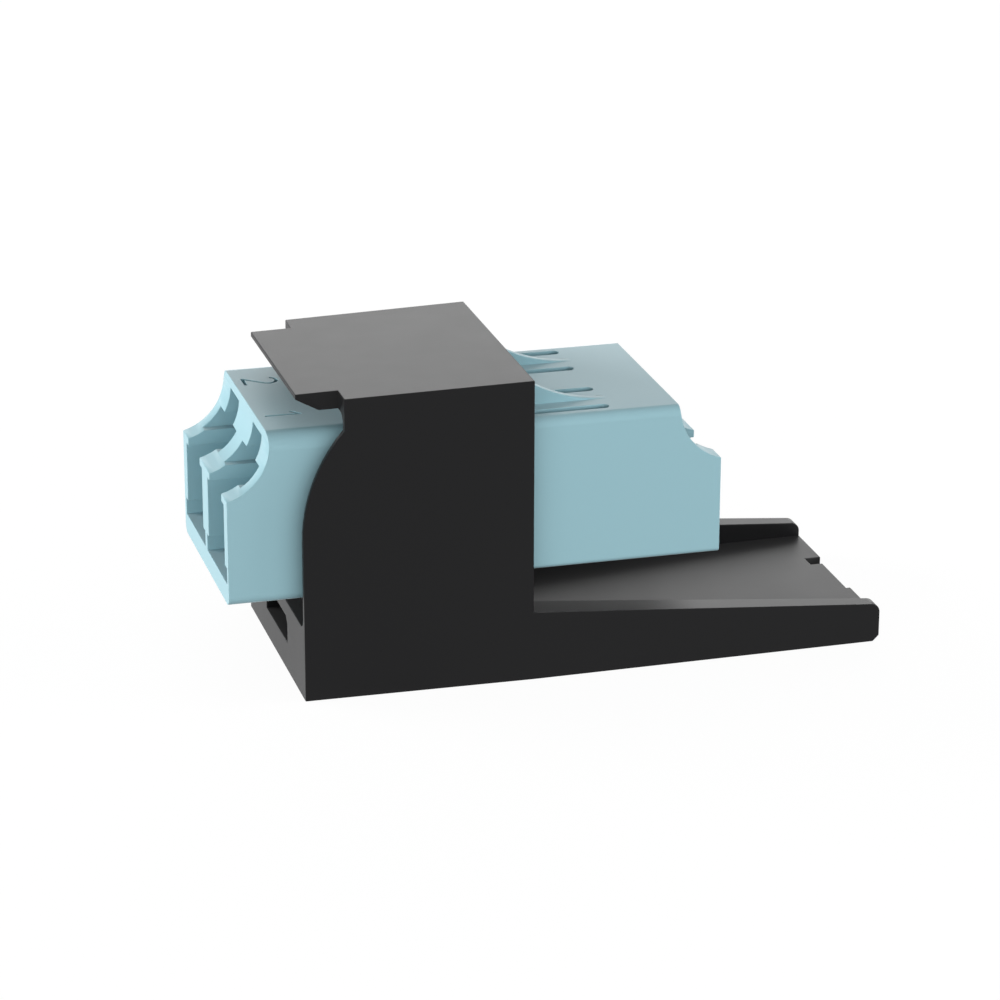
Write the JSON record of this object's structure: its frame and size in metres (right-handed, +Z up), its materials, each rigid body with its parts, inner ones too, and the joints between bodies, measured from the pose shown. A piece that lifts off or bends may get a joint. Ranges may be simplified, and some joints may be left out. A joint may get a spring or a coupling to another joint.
{
  "type": "fibre adapter module",
  "caption": "Duplex fibre connector adapter in a black clip-in housing with a curved hood, a top tab and a rear lever tray, plug openings at both ends.",
  "frame": {"origin": "middle of the module's outline, on the plane that its flat underside rests on", "axes": "+X from the front ports to the end of the lever tray, +Y across both ports, +Z up"},
  "size_m": [0.0388, 0.0156, 0.0181],
  "materials": {
    "black_plastic": "fine satin, moulded",
    "aqua_plastic": "smooth satin, moulded",
    "white_ceramic": "polished",
    "holder_plastic": "smooth satin, moulded"
  },
  "bodies": {
    "root": {"module_housing": "black_plastic", "adapter_front_shell": "aqua_plastic", "adapter_rear_shell": "aqua_plastic", "split_sleeve_1": "white_ceramic", "split_sleeve_2": "white_ceramic", "sleeve_holder_front_1": "holder_plastic", "sleeve_holder_front_2": "holder_plastic", "sleeve_holder_rear_1": "holder_plastic", "sleeve_holder_rear_2": "holder_plastic"}
  },
  "joints": []
}
